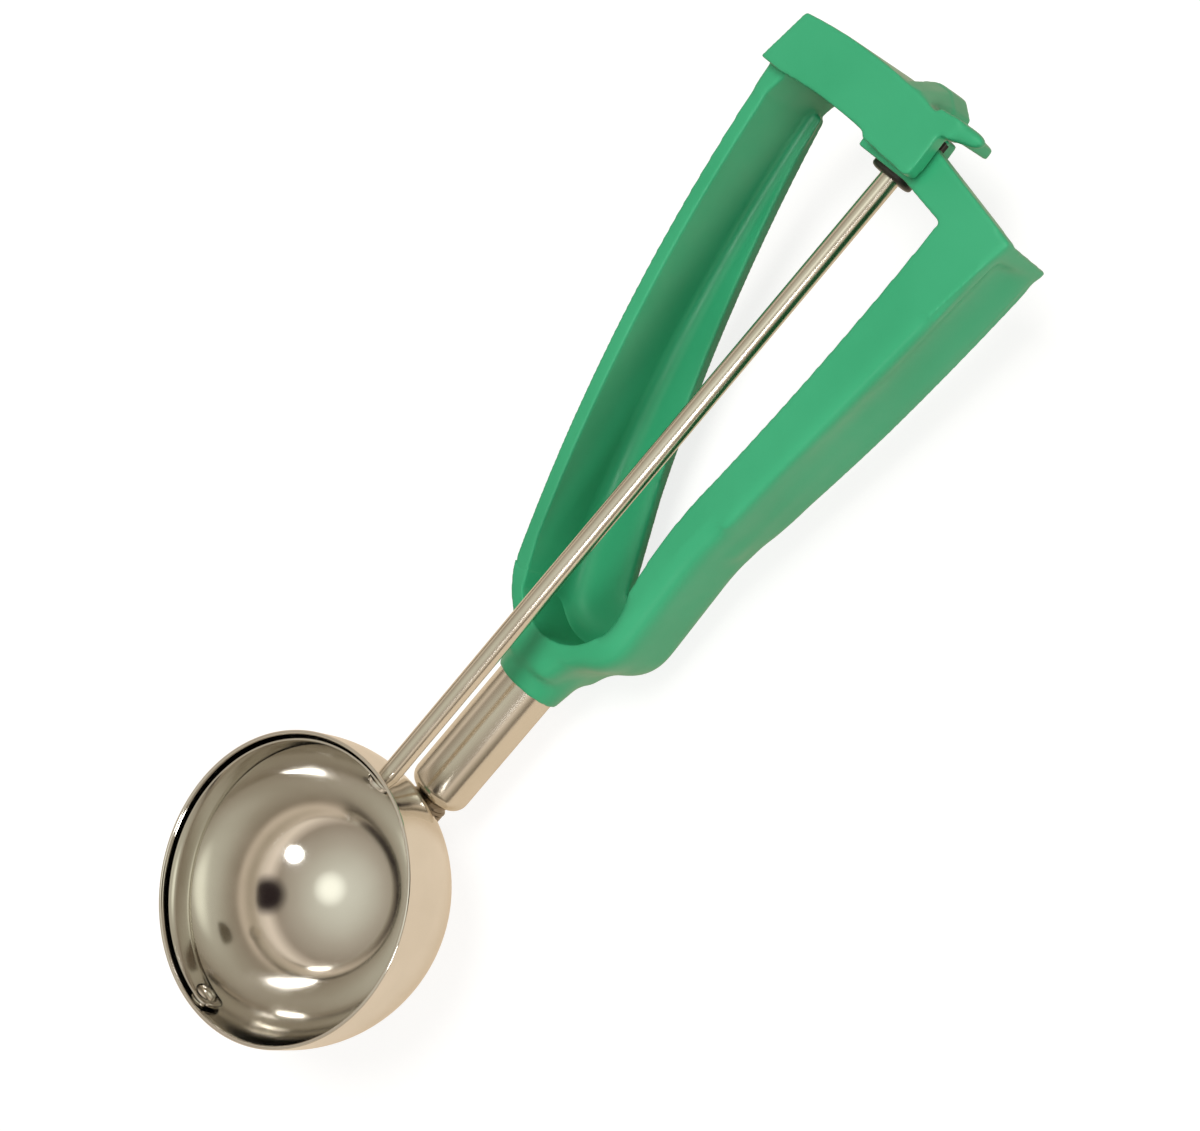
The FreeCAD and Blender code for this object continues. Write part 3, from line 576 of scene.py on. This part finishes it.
def add_hollow_rounding(bm):
    """One fillet round the trough and up the arm, between wall and floor."""
    trough = arc(TROUGH, TROUGH_RADIUS, -78, -224, 26)
    web = bowed(WEB_START, WEB_END, ARM_BOW, 40)
    path = trough + [(9.2, 10.4), (11.2, 11.3), (14.2, 12.6)] + web
    add_cove(bm, path, LIP_FACE, lambda t: 6.0 - 3.6 * t)


def add_crest_facet(bm):
    """The raised place slopes down to the front plate."""
    low = [(133.0, -3.4, 3.4), (134.9, -3.4, 3.4), (136.3, -3.2, -6.4), (133.0, -3.2, -6.4)]
    middle = [(133.0, 0.0, 3.4), (135.6, 0.0, 3.4), (138.6, 0.0, -6.4), (133.0, 0.0, -6.4)]
    high = [(133.0, 4.2, 3.4), (135.3, 4.2, 3.4), (138.5, 4.2, -6.4), (133.0, 4.2, -6.4)]
    end = [(133.0, 9.0, 3.4), (134.6, 9.0, 3.4), (134.8, 8.0, -6.4), (133.0, 8.0, -6.4)]
    for first, second in ((low, middle), (middle, high), (high, end)):
        add_bridge(bm, first, second)


def near_rack(places):
    """The teeth inside the cross-arm, in the handle's frame."""
    x, y, z = places.T
    return (x > 125.5) & (x < 131.5) & (y > -5.0) & (y < 23.0) & (z < -11.0) & (z > -14.5)


def rounded_lever(places):
    """The prong and the hollow of the trough."""
    x, y, z = places.T
    prong = (x > 131.6) & (y < -11.5)
    hollow = (x < 40) & (z < -11.0) & (z > -20.0) & (y < 14.0)
    return prong | hollow


def make_lever_moulding():
    extras = [add_root_plug, add_trough_floor, add_hollow_rounding, add_crest_facet]
    mesh = moulded("lever_moulding", "squeeze_lever", extras, rounded_lever, near_rack)
    piece = add_piece("lever_moulding", mesh, None, GREEN, ["squeeze_lever"])
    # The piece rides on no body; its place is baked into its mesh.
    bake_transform(piece)


def finish_cad_nodes():
    """Materials for the solids that stay as they are."""
    finishes = {"pivot_washer": STEEL, "retaining_ring": DRAWN_STEEL, "pinion": BLACK}
    for node, material in finishes.items():
        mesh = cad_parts[node].data
        mesh.materials.clear()
        mesh.materials.append(material)


# Scene

def make_floor():
    low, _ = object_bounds()
    size, clearance = 3.0, 0.0002
    height = low[2] - clearance
    mesh = bpy.data.meshes.new("floor")
    corners = [(x * size, y * size, height) for x, y in ((-1, -1), (1, -1), (1, 1), (-1, 1))]
    mesh.from_pydata(corners, [], [(0, 1, 2, 3)])
    floor = bpy.data.objects.new("floor", mesh)
    bpy.context.scene.collection.objects.link(floor)
    material, tree, shader = new_material("floor_paper")
    shader.inputs["Base Color"].default_value = (0.30, 0.30, 0.30, 1)
    shader.inputs["Roughness"].default_value = 0.9
    shader.inputs["Specular IOR Level"].default_value = 0.1
    # The paper shows white to the camera and warm white in the steel, and still takes the shadow.
    paths = tree.nodes.new("ShaderNodeLightPath")
    seen = paths.outputs["Is Camera Ray"]
    for other in ("Is Glossy Ray", "Is Transmission Ray"):
        either = tree.nodes.new("ShaderNodeMath")
        either.operation = "MAXIMUM"
        tree.links.new(seen, either.inputs[0])
        tree.links.new(paths.outputs[other], either.inputs[1])
        seen = either.outputs["Value"]
    strength = tree.nodes.new("ShaderNodeMath")
    strength.operation = "MULTIPLY"
    strength.inputs[1].default_value = 0.8
    tree.links.new(seen, strength.inputs[0])
    tint = tree.nodes.new("ShaderNodeMix")
    tint.data_type = "RGBA"
    tint.inputs["A"].default_value = (1, 1, 1, 1)
    tint.inputs["B"].default_value = (0.68, 0.51, 0.33, 1)
    tree.links.new(paths.outputs["Is Glossy Ray"], tint.inputs["Factor"])
    tree.links.new(tint.outputs["Result"], shader.inputs["Emission Color"])
    tree.links.new(strength.outputs["Value"], shader.inputs["Emission Strength"])
    mesh.materials.append(material)


CAMERA_X = Vector((0.6330, -0.5962, -0.4938))
CAMERA_UP = Vector((0.7511, 0.6276, 0.2050))
CAMERA_BACK = Vector((0.1876, -0.5006, 0.8451))
CAMERA_PLACE = Vector((171.6, -207.3, 334.4)) * MM


def world_patch(tree, direction, colour, right, up, inner, outer, patch):
    """Fades colour to a patch round one direction, given in the camera's terms."""
    towards = (CAMERA_X * right + CAMERA_UP * up + CAMERA_BACK).normalized()
    dot = tree.nodes.new("ShaderNodeVectorMath")
    dot.operation = "DOT_PRODUCT"
    dot.inputs[1].default_value = towards
    tree.links.new(direction, dot.inputs[0])
    near, far = math.cos(math.radians(inner)), math.cos(math.radians(outer))
    amount = spread(tree, dot.outputs["Value"], 0, 1, (far, near))
    mix = tree.nodes.new("ShaderNodeMix")
    mix.data_type = "RGBA"
    tree.links.new(amount, mix.inputs["Factor"])
    tree.links.new(colour, mix.inputs["A"])
    mix.inputs["B"].default_value = (*patch, 1)
    return mix.outputs["Result"]


def make_world():
    """A warm, pale room, darker low down, with a dark place beside the camera."""
    world = bpy.data.worlds.new("studio")
    bpy.context.scene.world = world
    world.use_nodes = True
    tree = world.node_tree
    background = tree.nodes["Background"]
    coordinates = tree.nodes.new("ShaderNodeTexCoord")
    direction = coordinates.outputs["Generated"]
    split = tree.nodes.new("ShaderNodeSeparateXYZ")
    ramp = tree.nodes.new("ShaderNodeValToRGB")
    tree.links.new(direction, split.inputs["Vector"])
    tree.links.new(split.outputs["Z"], ramp.inputs["Fac"])
    stops = (
        (0.0, (0.10, 0.08, 0.06)), (0.12, (0.30, 0.25, 0.19)), (0.3, (0.62, 0.53, 0.41)),
        (0.5, (1.05, 0.90, 0.74)), (0.62, (0.42, 0.35, 0.27)), (0.8, (0.58, 0.52, 0.42)),
        (1.0, (0.86, 0.84, 0.71)))
    elements = ramp.color_ramp.elements
    elements[0].position, elements[0].color = stops[0][0], (*stops[0][1], 1)
    elements[1].position, elements[1].color = stops[-1][0], (*stops[-1][1], 1)
    for position, colour in stops[1:-1]:
        elements.new(position).color = (*colour, 1)
    room = world_patch(tree, direction, ramp.outputs["Color"], -0.36, 0.16, 5, 14, (1.5, 1.5, 1.3))
    room = world_patch(tree, direction, room, 0.58, 0.26, 9, 17, (0.03, 0.02, 0.02))
    tree.links.new(room, background.inputs["Color"])
    # The room fills the shadows less than the steel mirrors it.
    paths = tree.nodes.new("ShaderNodeLightPath")
    level = spread(tree, paths.outputs["Is Glossy Ray"], 0.45, 0.85, (0, 1))
    tree.links.new(level, background.inputs["Strength"])
    paper = tree.nodes.new("ShaderNodeBackground")
    paper.inputs["Color"].default_value = (1, 1, 1, 1)
    either = tree.nodes.new("ShaderNodeMixShader")
    tree.links.new(paths.outputs["Is Camera Ray"], either.inputs["Fac"])
    tree.links.new(background.outputs["Background"], either.inputs[1])
    tree.links.new(paper.outputs["Background"], either.inputs[2])
    tree.links.new(either.outputs["Shader"], tree.nodes["World Output"].inputs["Surface"])


def make_camera():
    data = bpy.data.cameras.new("camera")
    data.sensor_width, data.lens = 36, 60
    data.clip_start, data.clip_end = 0.01, 10
    camera = bpy.data.objects.new("camera", data)
    turn = Matrix((CAMERA_X, CAMERA_UP, CAMERA_BACK)).transposed()
    camera.matrix_world = Matrix.Translation(CAMERA_PLACE) @ turn.to_4x4()
    bpy.context.scene.collection.objects.link(camera)
    bpy.context.scene.camera = camera


def add_light(name, right, up, back, size, watts, colour=(1, 1, 1), mirrored=True):
    """A soft box, placed by its direction in the camera's terms and aimed at the handle."""
    target, distance = Vector((85, 0, -10)) * MM, 0.9
    away = (CAMERA_X * right + CAMERA_UP * up + CAMERA_BACK * back).normalized()
    data = bpy.data.lights.new(name, "AREA")
    data.shape, data.size = "DISK", size
    data.energy, data.color = watts, colour
    light = bpy.data.objects.new(name, data)
    light.location = target + away * distance
    light.rotation_euler = away.to_track_quat("Z", "Y").to_euler()
    light.visible_glossy = mirrored
    bpy.context.scene.collection.objects.link(light)


def make_lights():
    add_light("key", -0.45, 0.5, 1.0, 0.5, 5.2, (1.0, 0.98, 0.95), False)
    add_light("fill", 0.62, -0.62, 1.0, 0.45, 3.6, (0.98, 1.0, 0.96), False)
    add_light("spark", 0.1, -0.5, 1.2, 0.2, 1.0)


make_camera()
make_bowl()
make_neck()
make_shaft()
make_blade()
make_collar_and_rivet()
make_bush()
make_frame_moulding()
make_lever_moulding()
finish_cad_nodes()
make_floor()
make_world()
make_lights()

bpy.context.scene.view_settings.view_transform = "Standard"
